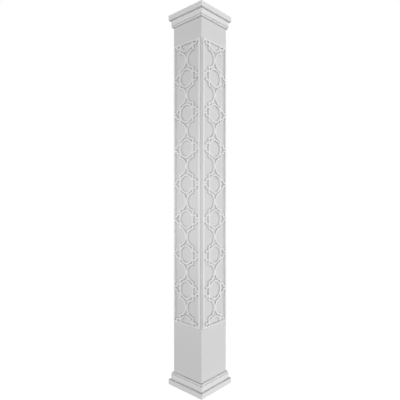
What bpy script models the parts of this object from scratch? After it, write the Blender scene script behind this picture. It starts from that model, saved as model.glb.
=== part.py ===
"""A square fretwork column wrap: boards, fretwork sheets fixed on them, and a moulded capital and base."""

import math

import bmesh
import bpy
from mathutils import Matrix

# Driving dimensions, in metres

WRAP_HEIGHT = 2.4384
SHAFT_WIDTH = 0.2445
BOARD_THICKNESS = 0.0127
JOINT_GAP = 0.0003

SLAB_HEIGHT = 0.0333
SLAB_PROJECTION = 0.0254
BAND_HEIGHT = 0.0349
BAND_PROJECTION = 0.0127
BEAD_HEIGHT = 0.0127
BEAD_STEP = 0.0020
BEAD_FOOT = 0.0060

SHEET_THICKNESS = 0.0095
SHEET_INSET = 0.0095
STRAP_WIDTH = 0.0100
PANEL_FOOT = 0.4280
LEAST_PLAIN_HEAD = 0.2000
RING_PITCH = 0.2260
END_RING_OVERRUN = 0.0095

RING_OPENING = 0.0510
STAR_TIP_WIDTH = 0.0032
EYE_REACH = 0.0795
EYE_HALF_HEIGHT = 0.0220
EYE_SLOT = 0.0040
EYE_CURVE = 0.0160

# How finely the curves are faceted

RING_SIDES = 10
HALF_TURN_SIDES = 4
STAR_ARC_SIDES = 2
RING_FLANK_SIDES = 2
EYE_CURVE_SIDES = 2
BEAD_SIDES = 4

# Sizes that follow from the driving ones

SHAFT_HALF = SHAFT_WIDTH / 2
BOARD_BACK = SHAFT_HALF - BOARD_THICKNESS
TRIM_BACK = SHAFT_HALF + JOINT_GAP
MITRE_EASE = JOINT_GAP / math.sqrt(2)

SHEET_BACK = SHAFT_HALF + JOINT_GAP
SHEET_FRONT = SHEET_BACK + SHEET_THICKNESS
SHEET_HALF = SHAFT_HALF - SHEET_INSET
PANEL_HALF = SHEET_HALF - STRAP_WIDTH
PANEL_ROOM = WRAP_HEIGHT - LEAST_PLAIN_HEAD - PANEL_FOOT
FULL_RINGS = math.floor((PANEL_ROOM + 2 * END_RING_OVERRUN) / RING_PITCH) - 1
PANEL_LENGTH = (FULL_RINGS + 1) * RING_PITCH - 2 * END_RING_OVERRUN
PANEL_HEAD = PANEL_FOOT + PANEL_LENGTH
SHEET_FOOT = PANEL_FOOT - STRAP_WIDTH
SHEET_HEAD = PANEL_HEAD + STRAP_WIDTH
FIRST_RING = PANEL_FOOT - END_RING_OVERRUN
RING_OUTSIDE = RING_OPENING + STRAP_WIDTH

SIDES = {"front": 0, "right": 90, "back": 180, "left": 270}


def clear_scene():
    """Remove every object, so that the model starts from nothing."""
    for item in list(bpy.data.objects):
        bpy.data.objects.remove(item, do_unlink=True)


def plastic(name, colour, roughness):
    """A painted cellular plastic of one colour."""
    material = bpy.data.materials.new(name)
    material.use_nodes = True
    shader = material.node_tree.nodes["Principled BSDF"]
    shader.inputs["Base Color"].default_value = (*colour, 1.0)
    shader.inputs["Roughness"].default_value = roughness
    shader.inputs["Metallic"].default_value = 0.0
    return material


def arc(centre, radius, start, end, sides):
    """Points on an arc, both ends included; angles are in degrees."""
    points = []
    for step in range(sides + 1):
        angle = math.radians(start + (end - start) * step / sides)
        points.append((centre[0] + radius * math.cos(angle), centre[1] + radius * math.sin(angle)))
    return points


def mirrored(points):
    """The same outline on the other side of the face's centre line."""
    return [(-across, height) for across, height in reversed(points)]


def upside_down(points):
    """The same outline, turned over about height zero."""
    return [(across, -height) for across, height in reversed(points)]


def closed_mesh(name, shape):
    """Turn a finished bmesh into a mesh whose faces all point out."""
    bmesh.ops.recalc_face_normals(shape, faces=shape.faces)
    mesh = bpy.data.meshes.new(name)
    shape.to_mesh(mesh)
    shape.free()
    return mesh


def join_rings(shape, first, second):
    """Close the space between two loops of as many points, and cap both."""
    for index in range(len(first)):
        following = (index + 1) % len(first)
        shape.faces.new((first[index], first[following], second[following], second[index]))
    shape.faces.new(first)
    shape.faces.new(second)


def mitred_mesh(name, profile):
    """Sweep a profile along one face of the column and mitre both ends to the corners.

    A profile point is its distance from the column's axis and its height.
    """
    shape = bmesh.new()
    ends = []
    for side in (-1, 1):
        ends.append([shape.verts.new((side * (out - MITRE_EASE), -out, height)) for out, height in profile])
    join_rings(shape, ends[0], ends[1])
    return closed_mesh(name, shape)


def prism_mesh(name, outlines, back, front):
    """Upright prisms between two distances from the axis, one for each outline."""
    shape = bmesh.new()
    for outline in outlines:
        near = [shape.verts.new((across, -front, height)) for across, height in outline]
        far = [shape.verts.new((across, -back, height)) for across, height in outline]
        join_rings(shape, near, far)
    return closed_mesh(name, shape)


def rectangle(low, high, foot, head):
    """Four corners between two distances and two heights."""
    return [(low, foot), (high, foot), (high, head), (low, head)]


def moulding_profile(inner_end, direction):
    """The moulding beside a slab: a flat band, a small step and a rounded bead.

    inner_end is the height where the moulding meets its slab, and direction is +1 for the base,
    where the moulding goes up from the slab, and -1 for the capital, where it hangs below.
    """
    band_front = SHAFT_HALF + BAND_PROJECTION
    bead_front = band_front - BEAD_STEP
    bead_depth = bead_front - SHAFT_HALF - BEAD_FOOT
    bead_foot = BAND_HEIGHT + BEAD_HEIGHT
    offsets = [(TRIM_BACK, 0.0), (band_front, 0.0), (band_front, BAND_HEIGHT), (bead_front, BAND_HEIGHT)]
    for out, rise in arc((bead_front - bead_depth, bead_foot - bead_depth), bead_depth, 0, 90, BEAD_SIDES):
        offsets.append((out, rise))
    offsets.append((TRIM_BACK, bead_foot))
    return [(out, inner_end + direction * rise) for out, rise in offsets]


def ring_opening(height):
    """The round hole in the middle of a ring."""
    turn = 180 / RING_SIDES
    return arc((0.0, height), RING_OPENING, turn, 360 + turn, RING_SIDES)[:-1]


def star_opening(ring_height, direction):
    """The three-pointed gap between a ring, the two half turns beyond it and the upright bars."""
    waist = ring_height + direction * RING_PITCH / 2
    tip_angle = math.degrees(math.acos(1 - STAR_TIP_WIDTH / 2 / RING_OUTSIDE))
    bar_angle = math.degrees(math.acos(STRAP_WIDTH / RING_OUTSIDE))
    turn_side = arc((RING_OUTSIDE, 0.0), RING_OUTSIDE, 180 + tip_angle, 180 + bar_angle, STAR_ARC_SIDES)
    flank_angle = math.degrees(math.acos(RING_OPENING / RING_OUTSIDE))
    ring_side = arc((0.0, -RING_PITCH / 2), RING_OUTSIDE, flank_angle, 180 - flank_angle, RING_FLANK_SIDES)
    tip = [(0.0, turn_side[0][1])]
    outline = tip + turn_side[1:] + ring_side + mirrored(turn_side[1:])
    return [(across, waist + direction * height) for across, height in outline]


def eye_opening(ring_height):
    """The small gap between a ring and the border: as tall as a strap bend, narrowing to a slot."""
    centre = (EYE_REACH + EYE_CURVE, EYE_SLOT + EYE_CURVE)
    curve = arc(centre, EYE_CURVE, 180, 270, EYE_CURVE_SIDES)
    corners = [(RING_OUTSIDE, EYE_HALF_HEIGHT), (EYE_REACH, EYE_HALF_HEIGHT)]
    upper = corners + curve[1:-1] + [(PANEL_HALF, EYE_SLOT)]
    return [(across, ring_height + height) for across, height in upper + upside_down(upper)]


def side_opening(waist):
    """The gap beside the border: round towards the middle, and cut off by a strap at each eye."""
    next_ring = RING_PITCH / 2
    strap_side = next_ring - EYE_HALF_HEIGHT - STRAP_WIDTH
    border_end = next_ring - EYE_SLOT - STRAP_WIDTH
    upper = [(RING_OUTSIDE, strap_side), (EYE_REACH, strap_side), (PANEL_HALF, border_end)]
    turn = arc((RING_OUTSIDE, 0.0), RING_OPENING, 270, 90, HALF_TURN_SIDES)
    return [(across, waist + height) for across, height in upside_down(upper) + turn + upper]


def within_panel(outline):
    """The part of an outline that lies between the panel's foot and its head."""
    for limit, inward in ((PANEL_FOOT, 1), (PANEL_HEAD, -1)):
        kept = []
        for index, (across, height) in enumerate(outline):
            last_across, last_height = outline[index - 1]
            inside = inward * (height - limit) >= 0
            last_inside = inward * (last_height - limit) >= 0
            if inside != last_inside:
                share = (limit - last_height) / (height - last_height)
                kept.append((last_across + share * (across - last_across), limit))
            if inside:
                kept.append((across, height))
        outline = kept
    return outline


def all_openings():
    """Every opening of one sheet, as outlines across the face and up it."""
    openings = []
    for index in range(FULL_RINGS + 2):
        height = FIRST_RING + index * RING_PITCH
        openings.append(ring_opening(height))
        openings.append(eye_opening(height))
        openings.append(mirrored(eye_opening(height)))
        if index > 0:
            openings.append(star_opening(height, -1))
        if index <= FULL_RINGS:
            openings.append(star_opening(height, 1))
            gap = side_opening(height + RING_PITCH / 2)
            openings.append(gap)
            openings.append(mirrored(gap))
    return [within_panel(outline) for outline in openings]


def fretwork_mesh():
    """One sheet, with every opening cut through it."""
    border = rectangle(-SHEET_HALF, SHEET_HALF, SHEET_FOOT, SHEET_HEAD)
    overcut = SHEET_THICKNESS / 2
    cutters = prism_mesh("openings", all_openings(), SHEET_BACK - overcut, SHEET_FRONT + overcut)
    blank = bpy.data.objects.new("blank", prism_mesh("blank", [border], SHEET_BACK, SHEET_FRONT))
    cutter = bpy.data.objects.new("openings", cutters)
    for item in (blank, cutter):
        bpy.context.scene.collection.objects.link(item)
    cut = blank.modifiers.new("openings", "BOOLEAN")
    cut.operation = "DIFFERENCE"
    cut.solver = "EXACT"
    cut.object = cutter
    graph = bpy.context.evaluated_depsgraph_get()
    mesh = bpy.data.meshes.new_from_object(blank.evaluated_get(graph))
    mesh.name = "fretwork_sheet"
    bpy.data.objects.remove(blank, do_unlink=True)
    bpy.data.objects.remove(cutter, do_unlink=True)
    return mesh


def place_on_each_side(stem, mesh, material):
    """Put a copy of one piece on each of the four sides."""
    mesh.materials.clear()
    mesh.materials.append(material)
    for side, degrees in SIDES.items():
        piece = bpy.data.objects.new(f"{stem}_{side}", mesh)
        piece.matrix_world = Matrix.Rotation(math.radians(degrees), 4, "Z")
        bpy.context.scene.collection.objects.link(piece)


def build_shaft():
    """The boards of the shaft, and the fretwork sheets fixed on them."""
    board_plastic = plastic("board_plastic", (0.80, 0.80, 0.80), 0.55)
    sheet_plastic = plastic("sheet_plastic", (0.82, 0.82, 0.82), 0.50)
    board = rectangle(BOARD_BACK, SHAFT_HALF, 0.0, WRAP_HEIGHT)
    place_on_each_side("shaft_board", mitred_mesh("shaft_board", board), board_plastic)
    place_on_each_side("fretwork_sheet", fretwork_mesh(), sheet_plastic)


def build_trim():
    """The slabs and mouldings that run round the top and the bottom."""
    trim_plastic = plastic("trim_plastic", (0.84, 0.84, 0.84), 0.45)
    slab_front = SHAFT_HALF + SLAB_PROJECTION
    slab_foot = WRAP_HEIGHT - SLAB_HEIGHT
    trims = {
        "capital_slab": rectangle(TRIM_BACK, slab_front, slab_foot, WRAP_HEIGHT),
        "capital_moulding": moulding_profile(slab_foot - JOINT_GAP, -1),
        "base_moulding": moulding_profile(SLAB_HEIGHT + JOINT_GAP, 1),
        "base_slab": rectangle(TRIM_BACK, slab_front, 0.0, SLAB_HEIGHT),
    }
    for stem, profile in trims.items():
        place_on_each_side(stem, mitred_mesh(stem, profile), trim_plastic)


clear_scene()
build_shaft()
build_trim()
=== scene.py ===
"""The looks of a square fretwork column wrap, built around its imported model."""

import math

import bmesh
import bpy
from mathutils import Matrix, Vector


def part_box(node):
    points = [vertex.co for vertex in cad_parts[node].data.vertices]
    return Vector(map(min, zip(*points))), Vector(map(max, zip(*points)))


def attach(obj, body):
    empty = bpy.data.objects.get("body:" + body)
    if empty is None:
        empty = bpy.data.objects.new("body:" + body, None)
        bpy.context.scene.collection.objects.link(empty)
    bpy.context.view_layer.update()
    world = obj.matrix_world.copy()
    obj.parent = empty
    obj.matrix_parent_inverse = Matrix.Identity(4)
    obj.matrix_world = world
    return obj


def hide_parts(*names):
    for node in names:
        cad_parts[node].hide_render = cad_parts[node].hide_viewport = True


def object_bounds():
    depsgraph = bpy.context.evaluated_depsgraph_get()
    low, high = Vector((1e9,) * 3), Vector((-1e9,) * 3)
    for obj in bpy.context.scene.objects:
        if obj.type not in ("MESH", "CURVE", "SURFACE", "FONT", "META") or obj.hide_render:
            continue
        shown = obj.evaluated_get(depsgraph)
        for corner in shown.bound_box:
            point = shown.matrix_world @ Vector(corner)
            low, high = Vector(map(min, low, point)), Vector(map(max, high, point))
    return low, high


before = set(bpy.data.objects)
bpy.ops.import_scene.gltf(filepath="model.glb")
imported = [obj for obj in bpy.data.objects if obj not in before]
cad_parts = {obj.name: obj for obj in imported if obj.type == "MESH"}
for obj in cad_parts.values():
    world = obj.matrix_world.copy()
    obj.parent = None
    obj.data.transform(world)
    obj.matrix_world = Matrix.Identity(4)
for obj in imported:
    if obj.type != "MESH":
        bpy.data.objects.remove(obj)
cad_low, cad_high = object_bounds()

# Sizes read from the frame, in metres

sheet_low, sheet_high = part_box("fretwork_sheet_front")
board_low, board_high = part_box("shaft_board_front")
slab_low, slab_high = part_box("base_slab_front")
base_low, base_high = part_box("base_moulding_front")
capital_low, capital_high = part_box("capital_moulding_front")
top_low, top_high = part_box("capital_slab_front")

WRAP_HEIGHT = cad_high.z
SHAFT_HALF = -board_low.y
BOARD_BACK = -board_high.y
MITRE_EASE = SHAFT_HALF - board_high.x
SHEET_FRONT = -sheet_low.y
SHEET_BACK = -sheet_high.y
SHEET_HALF = sheet_high.x
SHEET_FOOT = sheet_low.z
SHEET_HEAD = sheet_high.z
SLAB_HALF = -slab_low.y
BAND_HALF = -base_low.y
TRIM_BACK = -slab_high.y

# The pattern's own sizes, in metres

STRAP_WIDTH = 0.0100
FULL_RINGS = 7
END_RING_OVERRUN = 0.0095
RING_OPENING = 0.0510
STAR_TIP_WIDTH = 0.0032
EYE_REACH = 0.0795
EYE_HALF_HEIGHT = 0.0220
EYE_SLOT = 0.0040
EYE_CURVE = 0.0160

PANEL_HALF = SHEET_HALF - STRAP_WIDTH
PANEL_FOOT = SHEET_FOOT + STRAP_WIDTH
PANEL_HEAD = SHEET_HEAD - STRAP_WIDTH
FIRST_RING = PANEL_FOOT - END_RING_OVERRUN
RING_PITCH = (PANEL_HEAD - PANEL_FOOT + 2 * END_RING_OVERRUN) / (FULL_RINGS + 1)
RING_OUTSIDE = RING_OPENING + STRAP_WIDTH

# The mouldings' own sizes, in metres

BAND_HEIGHT = 0.0349
BEAD_STEP = 0.0020
BEAD_FOOT = 0.0060
QUIRK_DEPTH = 0.0030
QUIRK_WIDTH = 0.0030

# How finely the shapes are made, and how far their edges are eased

RING_SIDES = 72
HALF_TURN_SIDES = 36
STAR_ARC_SIDES = 14
RING_FLANK_SIDES = 24
EYE_CURVE_SIDES = 10
EYE_RING_SIDES = 10
CORNER_SIDES = 8
BEAD_SIDES = 14
CORNER_ROUND = 0.0006
CUT_EASE = 0.0006
TRIM_EASE = 0.0009
EASE_SEGMENTS = 3
SMOOTH_ANGLE = math.radians(32)
FLAT_FACE_WEIGHT = 100

SIDES = {"front": 0, "right": 90, "back": 180, "left": 270}

# The photograph's camera, from a fit to the column's corners

VIEW_DISTANCE = 1.0225 * WRAP_HEIGHT
VIEW_HEIGHT = WRAP_HEIGHT / 2
VIEW_AZIMUTH = math.radians(-47.7)
FOCAL_PIXELS = 375.0
PHOTO_PIXELS = 400.0
SENSOR_WIDTH = 36.0

# The studio light

HORIZON_STRENGTH = 1.61
HORIZON_FALL = 2.0
KEY_AZIMUTH = 15.0
KEY_ELEVATION = 3.0
KEY_SPREAD = 20.0
KEY_STRENGTH = 0.64
FILL_AZIMUTH = -78.0
FILL_DISTANCE = 1.0
FILL_SIZE = (0.4, 0.5)
FILL_WATTS = 1.55
WHITE = (1, 1, 1, 1)

# The floor

FLOOR_REACH = 40.0
FLOOR_DROP = 0.0005
FLOOR_COLOUR = (0.9, 0.9, 0.9, 1)
FLOOR_ROUGHNESS = 0.9
FLOOR_GLOW = 0.75

# Lightness, roughness and the depth of the shade painted into the inner corners, for each kind of piece

BOARD_LOOK = (0.77, 0.60, 0.34)
# Painted highlight: the sheets are the same plastic as the boards, made lighter to stand in for the
# highlights along their straps
SHEET_LOOK = (0.90, 0.55, 0.0)
# Painted highlight: the trim is the same plastic too, made lighter to stand in for the highlights along its
# eased edges
TRIM_LOOK = (0.87, 0.50, 0.20)

# The plastic's texture: its scales are in features to a metre, before any stretch

NOISE_LOW = 0.3
NOISE_HIGH = 0.7
EVEN = (1, 1, 1)
ALONG_HEIGHT = (1.0, 1.0, 0.02)
ALONG_WIDTH = (0.02, 1.0, 1.0)
CLOUD_SCALE = 3.0
CLOUD_RANGE = (0.993, 1.005)
PATCH_SCALE = 14.0
PATCH_RANGE = (-0.05, 0.06)
LINE_SCALE = 60.0
LINE_STRENGTH = 0.25
GRAIN_SCALE = 900.0
GRAIN_STRENGTH = 0.2
GRAIN_DEPTH = 0.0003
# How far the shade painted into the inner corners reaches, and how many samples gauge it
PAINTED_SHADE_REACH = 0.012
PAINTED_SHADE_SAMPLES = 8


def arc(centre, radius, start, end, sides):
    """Points on an arc, both ends included; angles are in degrees."""
    points = []
    for step in range(sides + 1):
        angle = math.radians(start + (end - start) * step / sides)
        points.append((centre[0] + radius * math.cos(angle), centre[1] + radius * math.sin(angle)))
    return points


def mirrored(points):
    """The same outline on the other side of the face's centre line."""
    return [(-across, height) for across, height in reversed(points)]


def upside_down(points):
    """The same outline, turned over about height zero."""
    return [(across, -height) for across, height in reversed(points)]


def ring_opening(height):
    """The round hole in the middle of a ring."""
    return arc((0.0, height), RING_OPENING, 0, 360, RING_SIDES)[:-1]


def star_opening(ring_height, direction):
    """The three-pointed gap between a ring, the two half turns beyond it and the upright bars."""
    waist = ring_height + direction * RING_PITCH / 2
    tip_angle = math.degrees(math.acos(1 - STAR_TIP_WIDTH / 2 / RING_OUTSIDE))
    bar_angle = math.degrees(math.acos(STRAP_WIDTH / RING_OUTSIDE))
    turn_side = arc((RING_OUTSIDE, 0.0), RING_OUTSIDE, 180 + tip_angle, 180 + bar_angle, STAR_ARC_SIDES)
    flank_angle = math.degrees(math.acos(RING_OPENING / RING_OUTSIDE))
    ring_side = arc((0.0, -RING_PITCH / 2), RING_OUTSIDE, flank_angle, 180 - flank_angle, RING_FLANK_SIDES)
    outline = turn_side + ring_side + mirrored(turn_side)
    return [(across, waist + direction * height) for across, height in outline]


def eye_opening(ring_height):
    """The small gap between a ring and the border: as tall as a strap bend, narrowing to a slot."""
    centre = (EYE_REACH + EYE_CURVE, EYE_SLOT + EYE_CURVE)
    curve = arc(centre, EYE_CURVE, 180, 270, EYE_CURVE_SIDES)
    upper = [(EYE_REACH, EYE_HALF_HEIGHT)] + curve + [(PANEL_HALF, EYE_SLOT)]
    ring_angle = math.degrees(math.asin(EYE_HALF_HEIGHT / RING_OUTSIDE))
    ring_side = arc((0.0, 0.0), RING_OUTSIDE, -ring_angle, ring_angle, EYE_RING_SIDES)
    return [(across, ring_height + height) for across, height in ring_side + upper + upside_down(upper)]


def side_opening(waist):
    """The gap beside the border: round towards the middle, and cut off by a strap at each eye."""
    eye = RING_PITCH / 2
    strap_side = eye - EYE_HALF_HEIGHT - STRAP_WIDTH
    corner = arc((EYE_REACH, eye - EYE_HALF_HEIGHT), STRAP_WIDTH, 270, 360, CORNER_SIDES)
    horn_centre = (EYE_REACH + EYE_CURVE, eye - EYE_SLOT - EYE_CURVE)
    horn = arc(horn_centre, EYE_CURVE - STRAP_WIDTH, 180, 90, CORNER_SIDES)
    upper = [(RING_OUTSIDE, strap_side)] + corner + horn + [(PANEL_HALF, eye - EYE_SLOT - STRAP_WIDTH)]
    turn = arc((RING_OUTSIDE, 0.0), RING_OPENING, 270, 90, HALF_TURN_SIDES)
    return [(across, waist + height) for across, height in upside_down(upper) + turn + upper]


def within_panel(outline):
    """The part of an outline that lies between the panel's foot and its head."""
    for limit, inward in ((PANEL_FOOT, 1), (PANEL_HEAD, -1)):
        kept = []
        for index, (across, height) in enumerate(outline):
            last_across, last_height = outline[index - 1]
            inside = inward * (height - limit) >= 0
            last_inside = inward * (last_height - limit) >= 0
            if inside != last_inside:
                share = (limit - last_height) / (height - last_height)
                kept.append((last_across + share * (across - last_across), limit))
            if inside:
                kept.append((across, height))
        outline = kept
    return outline


def all_openings():
    """Every opening of one sheet, as outlines across the face and up it."""
    openings = []
    for index in range(FULL_RINGS + 2):
        height = FIRST_RING + index * RING_PITCH
        openings.append(ring_opening(height))
        openings.append(eye_opening(height))
        openings.append(mirrored(eye_opening(height)))
        if index > 0:
            openings.append(star_opening(height, -1))
        if index <= FULL_RINGS:
            openings.append(star_opening(height, 1))
            gap = side_opening(height + RING_PITCH / 2)
            openings.append(gap)
            openings.append(mirrored(gap))
    return [within_panel(outline) for outline in openings]


def closed_mesh(name, shape):
    """Turn a finished bmesh into a mesh whose faces all point out."""
    bmesh.ops.recalc_face_normals(shape, faces=shape.faces)
    mesh = bpy.data.meshes.new(name)
    shape.to_mesh(mesh)
    shape.free()
    return mesh


def join_rings(shape, first, second):
    """Close the space between two loops of as many points, and cap both."""
    for index in range(len(first)):
        following = (index + 1) % len(first)
        shape.faces.new((first[index], first[following], second[following], second[index]))
    shape.faces.new(first)
    shape.faces.new(second)


def mitred_mesh(name, profile):
    """Sweep a profile of (distance from the axis, height) along one face, with mitred ends."""
    shape = bmesh.new()
    ends = []
    for side in (-1, 1):
        ends.append([shape.verts.new((side * (out - MITRE_EASE), -out, height)) for out, height in profile])
    join_rings(shape, ends[0], ends[1])
    return closed_mesh(name, shape)


def prism_mesh(name, outlines, back, front):
    """Upright prisms between two distances from the axis, one for each outline."""
    shape = bmesh.new()
    for outline in outlines:
        near = [shape.verts.new((across, -front, height)) for across, height in outline]
        far = [shape.verts.new((across, -back, height)) for across, height in outline]
        join_rings(shape, near, far)
    return closed_mesh(name, shape)


def rectangle(low, high, foot, head):
    """Four corners between two distances and two heights."""
    return [(low, foot), (high, foot), (high, head), (low, head)]


def board_mesh():
    """One board of the shaft: mitred, with its half of each rounded corner of the column."""
    round_centre = SHAFT_HALF - CORNER_ROUND
    half_corner = arc((round_centre, -round_centre), CORNER_ROUND, -90, -45, CORNER_SIDES)
    right_half = [(x - MITRE_EASE, y) for x, y in half_corner]
    right_half.append((BOARD_BACK - MITRE_EASE, -BOARD_BACK))
    plan = right_half + [(-x, y) for x, y in reversed(right_half)]
    shape = bmesh.new()
    foot = [shape.verts.new((x, y, board_low.z)) for x, y in plan]
    head = [shape.verts.new((x, y, board_high.z)) for x, y in plan]
    join_rings(shape, foot, head)
    return closed_mesh("shaft_side", shape)


def evaluated_copy(piece, name):
    """The piece's mesh with its modifiers applied, and the piece itself removed."""
    graph = bpy.context.evaluated_depsgraph_get()
    mesh = bpy.data.meshes.new_from_object(piece.evaluated_get(graph))
    mesh.name = name
    bpy.data.objects.remove(piece, do_unlink=True)
    return mesh


def linked(name, mesh):
    """A new object in the scene."""
    piece = bpy.data.objects.new(name, mesh)
    bpy.context.scene.collection.objects.link(piece)
    return piece


def smoothed(mesh):
    """Shade the rounded stretches smooth, and leave the corners sharp."""
    mesh.shade_smooth()
    mesh.set_sharp_from_angle(angle=SMOOTH_ANGLE)


def eased(mesh, width, name):
    """The mesh with its sharp edges rounded off, and its flat faces still shaded flat."""
    piece = linked(name + "_blank", mesh)
    for polygon in mesh.polygons:
        polygon.use_smooth = True
    ease = piece.modifiers.new("ease", "BEVEL")
    ease.width = width
    ease.segments = EASE_SEGMENTS
    ease.limit_method = "ANGLE"
    ease.angle_limit = SMOOTH_ANGLE
    ease.use_clamp_overlap = True
    flatten = piece.modifiers.new("flatten", "WEIGHTED_NORMAL")
    flatten.keep_sharp = True
    flatten.weight = FLAT_FACE_WEIGHT
    return evaluated_copy(piece, name)


def fretwork_mesh():
    """One sheet, with every opening cut through it and all edges eased."""
    border = rectangle(-SHEET_HALF, SHEET_HALF, SHEET_FOOT, SHEET_HEAD)
    blank = linked("blank", prism_mesh("blank", [border], SHEET_BACK, SHEET_FRONT))
    overcut = (SHEET_FRONT - SHEET_BACK) / 2
    cutters = prism_mesh("openings", all_openings(), SHEET_BACK - overcut, SHEET_FRONT + overcut)
    cutter = linked("openings", cutters)
    cut = blank.modifiers.new("openings", "BOOLEAN")
    cut.operation = "DIFFERENCE"
    cut.solver = "EXACT"
    cut.object = cutter
    mesh = evaluated_copy(blank, "fretwork")
    bpy.data.objects.remove(cutter, do_unlink=True)
    return eased(mesh, CUT_EASE, "fretwork")


def moulding_profile(inner_end, outer_end):
    """A flat band beside the slab, a narrow sunk line and a rounded bead against the shaft."""
    direction = math.copysign(1.0, outer_end - inner_end)
    reach = abs(outer_end - inner_end)
    bead_front = BAND_HALF - BEAD_STEP
    bead_depth = bead_front - SHAFT_HALF - BEAD_FOOT
    quirk_back = bead_front - QUIRK_DEPTH
    offsets = [(TRIM_BACK, 0.0), (BAND_HALF, 0.0), (BAND_HALF, BAND_HEIGHT), (quirk_back, BAND_HEIGHT)]
    offsets += [(quirk_back, BAND_HEIGHT + QUIRK_WIDTH), (bead_front, BAND_HEIGHT + QUIRK_WIDTH)]
    offsets += arc((bead_front - bead_depth, reach - bead_depth), bead_depth, 0, 90, BEAD_SIDES)
    offsets.append((TRIM_BACK, reach))
    return [(out, inner_end + direction * rise) for out, rise in offsets]


def nodes_of(name):
    """A new material, its node tree and its shader."""
    material = bpy.data.materials.new(name)
    material.use_nodes = True
    tree = material.node_tree
    return material, tree, tree.nodes["Principled BSDF"]


def noise(tree, scale, detail, roughness, stretch):
    """Noise in the piece's own space, stretched along the way that the piece was milled."""
    place = tree.nodes.new("ShaderNodeTexCoord")
    mapping = tree.nodes.new("ShaderNodeMapping")
    mapping.inputs["Scale"].default_value = stretch
    texture = tree.nodes.new("ShaderNodeTexNoise")
    texture.inputs["Scale"].default_value = scale
    texture.inputs["Detail"].default_value = detail
    texture.inputs["Roughness"].default_value = roughness
    tree.links.new(place.outputs["Object"], mapping.inputs["Vector"])
    tree.links.new(mapping.outputs["Vector"], texture.inputs["Vector"])
    return texture.outputs["Fac"]


def ranged(tree, value, low, high):
    """A noise value spread over a range of its own."""
    spread = tree.nodes.new("ShaderNodeMapRange")
    spread.inputs["From Min"].default_value = NOISE_LOW
    spread.inputs["From Max"].default_value = NOISE_HIGH
    spread.inputs["To Min"].default_value = low
    spread.inputs["To Max"].default_value = high
    tree.links.new(value, spread.inputs["Value"])
    return spread.outputs["Result"]


def painted_corner_shade(tree, colour, depth):
    """The colour with shade painted into the inner corners: darkened there by up to the share that depth
    gives.
    """
    corner_occlusion = tree.nodes.new("ShaderNodeAmbientOcclusion")
    corner_occlusion.samples = PAINTED_SHADE_SAMPLES
    corner_occlusion.inputs["Distance"].default_value = PAINTED_SHADE_REACH
    dimmed = tree.nodes.new("ShaderNodeMapRange")
    dimmed.inputs["To Min"].default_value = 1.0 - depth
    tree.links.new(corner_occlusion.outputs["AO"], dimmed.inputs["Value"])
    scaled = tree.nodes.new("ShaderNodeVectorMath")
    scaled.operation = "SCALE"
    tree.links.new(colour, scaled.inputs["Vector"])
    tree.links.new(dimmed.outputs["Result"], scaled.inputs["Scale"])
    return scaled.outputs["Vector"]


def white_plastic(name, look, stretch):
    """Matte white cellular plastic: faint clouding, milling lines along its length, fine grain, and shade
    painted into its inner corners.
    """
    material, tree, shader = nodes_of(name)
    lightness, roughness, painted_shade_depth = look
    darkest, lightest = (lightness * share for share in CLOUD_RANGE)
    cloud = ranged(tree, noise(tree, CLOUD_SCALE, 3.0, 0.5, EVEN), darkest, lightest)
    colour = tree.nodes.new("ShaderNodeCombineColor")
    for channel in ("Red", "Green", "Blue"):
        tree.links.new(cloud, colour.inputs[channel])
    # Painted shade: the colour is darkened where the inner corners shut out the light
    shaded = painted_corner_shade(tree, colour.outputs["Color"], painted_shade_depth)
    tree.links.new(shaded, shader.inputs["Base Color"])
    smoothest, roughest = (roughness + change for change in PATCH_RANGE)
    patches = ranged(tree, noise(tree, PATCH_SCALE, 4.0, 0.6, EVEN), smoothest, roughest)
    tree.links.new(patches, shader.inputs["Roughness"])
    lines = tree.nodes.new("ShaderNodeBump")
    lines.inputs["Strength"].default_value = LINE_STRENGTH
    lines.inputs["Distance"].default_value = GRAIN_DEPTH
    tree.links.new(noise(tree, LINE_SCALE, 2.0, 0.5, stretch), lines.inputs["Height"])
    grain = tree.nodes.new("ShaderNodeBump")
    grain.inputs["Strength"].default_value = GRAIN_STRENGTH
    grain.inputs["Distance"].default_value = GRAIN_DEPTH
    tree.links.new(noise(tree, GRAIN_SCALE, 2.0, 0.6, EVEN), grain.inputs["Height"])
    tree.links.new(lines.outputs["Normal"], grain.inputs["Normal"])
    tree.links.new(grain.outputs["Normal"], shader.inputs["Normal"])
    shader.inputs["Metallic"].default_value = 0.0
    return material


def place_on_each_side(stem, mesh, node_stem):
    """One copy of a piece on each side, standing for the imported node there."""
    for side, degrees in SIDES.items():
        piece = linked(f"{stem}_{side}", mesh)
        piece.matrix_world = Matrix.Rotation(math.radians(degrees), 4, "Z")
        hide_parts(f"{node_stem}_{side}")
        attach(piece, "root")


def build_shaft(surface):
    """The boards of the shaft."""
    mesh = board_mesh()
    smoothed(mesh)
    mesh.materials.append(surface)
    place_on_each_side("shaft_side", mesh, "shaft_board")


def build_fretwork(surface):
    """The pierced sheets."""
    mesh = fretwork_mesh()
    mesh.materials.clear()
    mesh.materials.append(surface)
    place_on_each_side("fretwork", mesh, "fretwork_sheet")


def build_trim(surface):
    """The slabs and mouldings round the top and the bottom."""
    trims = {
        "capital_slab": rectangle(TRIM_BACK, SLAB_HALF, top_low.z, top_high.z),
        "capital_moulding": moulding_profile(capital_high.z, capital_low.z),
        "base_moulding": moulding_profile(base_low.z, base_high.z),
        "base_slab": rectangle(TRIM_BACK, SLAB_HALF, slab_low.z, slab_high.z),
    }
    for stem, profile in trims.items():
        mesh = eased(mitred_mesh(stem, profile), TRIM_EASE, f"{stem}_length")
        mesh.materials.clear()
        mesh.materials.append(surface)
        place_on_each_side(f"{stem}_length", mesh, stem)


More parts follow.
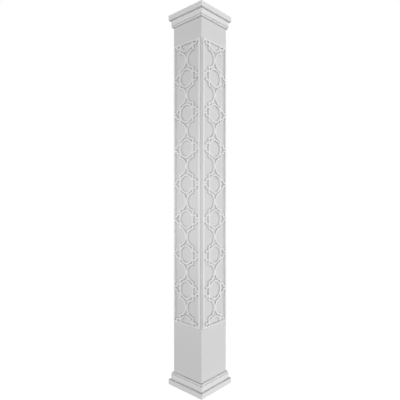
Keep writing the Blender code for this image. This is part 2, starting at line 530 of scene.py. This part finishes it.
def area_light(name, location, target, size, watts):
    """A soft rectangular light that faces a target."""
    data = bpy.data.lights.new(name, "AREA")
    data.shape = "RECTANGLE"
    data.size, data.size_y = size
    data.energy = watts
    light = linked(name, data)
    light.location = location
    light.rotation_mode = "QUATERNION"
    light.rotation_quaternion = (Vector(target) - Vector(location)).to_track_quat("-Z", "Y")
    return light


def calculated(tree, operation, first, second):
    """The output of a Math node on two numbers or sockets."""
    node = tree.nodes.new("ShaderNodeMath")
    node.operation = operation
    for socket, value in zip(node.inputs, (first, second)):
        if isinstance(value, float):
            socket.default_value = value
        else:
            tree.links.new(value, socket)
    return node.outputs["Value"]


def build_world():
    """A white backdrop that lights the object mostly from the level, and shows plain white."""
    world = bpy.data.worlds.new("studio")
    bpy.context.scene.world = world
    world.use_nodes = True
    tree = world.node_tree
    tree.nodes.clear()
    seen = tree.nodes.new("ShaderNodeBackground")
    seen.inputs["Color"].default_value = WHITE
    seen.inputs["Strength"].default_value = 1.0
    lighting = tree.nodes.new("ShaderNodeBackground")
    lighting.inputs["Color"].default_value = WHITE
    place = tree.nodes.new("ShaderNodeTexCoord")
    parts = tree.nodes.new("ShaderNodeSeparateXYZ")
    tree.links.new(place.outputs["Generated"], parts.inputs["Vector"])
    steepness = calculated(tree, "ABSOLUTE", parts.outputs["Z"], 0.0)
    levelness = calculated(tree, "SUBTRACT", 1.0, steepness)
    glow = calculated(tree, "POWER", levelness, HORIZON_FALL)
    strength = calculated(tree, "MULTIPLY", glow, HORIZON_STRENGTH)
    tree.links.new(strength, lighting.inputs["Strength"])
    rays = tree.nodes.new("ShaderNodeLightPath")
    mix = tree.nodes.new("ShaderNodeMixShader")
    output = tree.nodes.new("ShaderNodeOutputWorld")
    tree.links.new(rays.outputs["Is Camera Ray"], mix.inputs["Fac"])
    tree.links.new(lighting.outputs["Background"], mix.inputs[1])
    tree.links.new(seen.outputs["Background"], mix.inputs[2])
    tree.links.new(mix.outputs["Shader"], output.inputs["Surface"])


def build_floor():
    """A plain pale floor, which doesn't dim the light that reaches the column."""
    shape = bmesh.new()
    bmesh.ops.create_grid(shape, x_segments=1, y_segments=1, size=FLOOR_REACH)
    mesh = closed_mesh("floor", shape)
    floor = linked("floor", mesh)
    floor.location.z = -FLOOR_DROP
    material, tree, shader = nodes_of("pale_floor")
    shader.inputs["Base Color"].default_value = FLOOR_COLOUR
    shader.inputs["Roughness"].default_value = FLOOR_ROUGHNESS
    shader.inputs["Specular IOR Level"].default_value = 0.0
    shader.inputs["Emission Color"].default_value = WHITE
    shader.inputs["Emission Strength"].default_value = FLOOR_GLOW
    mesh.materials.append(material)
    floor.visible_diffuse = False
    floor.visible_glossy = False
    floor.visible_shadow = False


def build_camera():
    """The photograph's view: level, at half the column's height, towards its front left corner."""
    data = bpy.data.cameras.new("camera")
    data.sensor_width = SENSOR_WIDTH
    data.lens = FOCAL_PIXELS / PHOTO_PIXELS * SENSOR_WIDTH
    camera = linked("camera", data)
    back = Vector((math.sin(VIEW_AZIMUTH), -math.cos(VIEW_AZIMUTH), 0.0))
    camera.location = back * VIEW_DISTANCE + Vector((0, 0, VIEW_HEIGHT))
    camera.rotation_mode = "QUATERNION"
    camera.rotation_quaternion = (-back).to_track_quat("-Z", "Y")
    bpy.context.scene.camera = camera


def sun(name, azimuth, elevation, spread, strength):
    """A distant light; azimuth 0 shines along +Y, as the views are counted."""
    data = bpy.data.lights.new(name, "SUN")
    data.angle = math.radians(spread)
    data.energy = strength
    light = linked(name, data)
    turn, rise = math.radians(azimuth), math.radians(elevation)
    back = Vector((math.sin(turn) * math.cos(rise), -math.cos(turn) * math.cos(rise), math.sin(rise)))
    light.rotation_mode = "QUATERNION"
    light.rotation_quaternion = (-back).to_track_quat("-Z", "Y")


def build_lights():
    """A weak level key from the right, and a small fill level with the middle of the left face."""
    sun("key", KEY_AZIMUTH, KEY_ELEVATION, KEY_SPREAD, KEY_STRENGTH)
    middle = Vector((0.0, 0.0, VIEW_HEIGHT))
    turn = math.radians(FILL_AZIMUTH)
    place = middle + FILL_DISTANCE * Vector((math.sin(turn), -math.cos(turn), 0.0))
    fill = area_light("fill", place, middle, FILL_SIZE, FILL_WATTS)
    fill.visible_camera = False


bpy.context.scene.view_settings.view_transform = "Standard"
build_camera()
build_world()
build_floor()
build_lights()
build_shaft(white_plastic("board_plastic", BOARD_LOOK, ALONG_HEIGHT))
build_fretwork(white_plastic("sheet_plastic", SHEET_LOOK, ALONG_HEIGHT))
build_trim(white_plastic("trim_plastic", TRIM_LOOK, ALONG_WIDTH))
